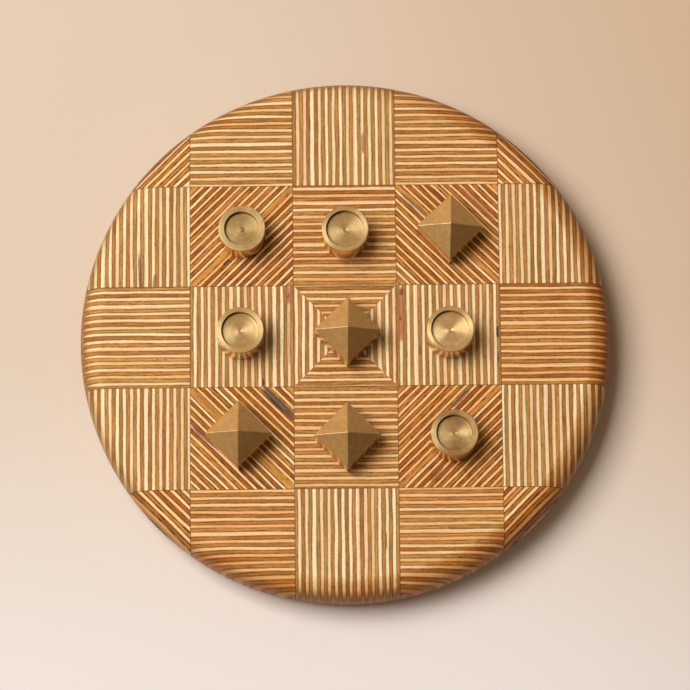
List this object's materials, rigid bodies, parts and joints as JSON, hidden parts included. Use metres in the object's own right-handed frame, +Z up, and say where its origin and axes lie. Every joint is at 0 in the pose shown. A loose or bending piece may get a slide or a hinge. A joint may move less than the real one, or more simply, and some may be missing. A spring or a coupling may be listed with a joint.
{
  "type": "tic-tac-toe board",
  "caption": "Round wooden tic-tac-toe board glued up from blocks of plywood on edge, with turned round noughts and pyramid-topped square crosses in brass.",
  "frame": {"origin": "centre of the board's flat underside", "axes": "+Z up through the board, +X east and +Y north along the rows of squares, where north is the far side in the picture"},
  "size_m": [0.216, 0.216, 0.0399],
  "materials": {
    "plywood": "edge-grain birch plywood, pale and brown plies in turn, sanded smooth under a satin clear finish",
    "brass": "turned and milled brass, satin tops and bright drawn sides"
  },
  "bodies": {
    "board": {"wedge_n": "plywood", "wedge_e": "plywood", "wedge_s": "plywood", "wedge_w": "plywood", "square_n": "plywood", "square_ne": "plywood", "square_e": "plywood", "square_se": "plywood", "square_s": "plywood", "square_sw": "plywood", "square_w": "plywood", "square_nw": "plywood", "rim_n": "plywood", "rim_nne": "plywood", "rim_ene": "plywood", "rim_e": "plywood", "rim_ese": "plywood", "rim_sse": "plywood", "rim_s": "plywood", "rim_ssw": "plywood", "rim_wsw": "plywood", "rim_w": "plywood", "rim_wnw": "plywood", "rim_nnw": "plywood", "corner_ne": "plywood", "corner_se": "plywood", "corner_sw": "plywood", "corner_nw": "plywood"},
    "nought_n": {"nought_n": "brass"},
    "nought_e": {"nought_e": "brass"},
    "nought_se": {"nought_se": "brass"},
    "nought_w": {"nought_w": "brass"},
    "nought_nw": {"nought_nw": "brass"},
    "cross_c": {"cross_c": "brass"},
    "cross_ne": {"cross_ne": "brass"},
    "cross_s": {"cross_s": "brass"},
    "cross_sw": {"cross_sw": "brass"}
  },
  "joints": [
    {"name": "lift_nought_n", "type": "slide", "parent": "board", "child": "nought_n", "axis": [0, 0, 1], "range_m": [0, 0.06]},
    {"name": "lift_nought_e", "type": "slide", "parent": "board", "child": "nought_e", "axis": [0, 0, 1], "range_m": [0, 0.06]},
    {"name": "lift_nought_se", "type": "slide", "parent": "board", "child": "nought_se", "axis": [0, 0, 1], "range_m": [0, 0.06]},
    {"name": "lift_nought_w", "type": "slide", "parent": "board", "child": "nought_w", "axis": [0, 0, 1], "range_m": [0, 0.06]},
    {"name": "lift_nought_nw", "type": "slide", "parent": "board", "child": "nought_nw", "axis": [0, 0, 1], "range_m": [0, 0.06]},
    {"name": "lift_cross_c", "type": "slide", "parent": "board", "child": "cross_c", "axis": [0, 0, 1], "range_m": [0, 0.06]},
    {"name": "lift_cross_ne", "type": "slide", "parent": "board", "child": "cross_ne", "axis": [0, 0, 1], "range_m": [0, 0.06]},
    {"name": "lift_cross_s", "type": "slide", "parent": "board", "child": "cross_s", "axis": [0, 0, 1], "range_m": [0, 0.06]},
    {"name": "lift_cross_sw", "type": "slide", "parent": "board", "child": "cross_sw", "axis": [0, 0, 1], "range_m": [0, 0.06]}
  ]
}
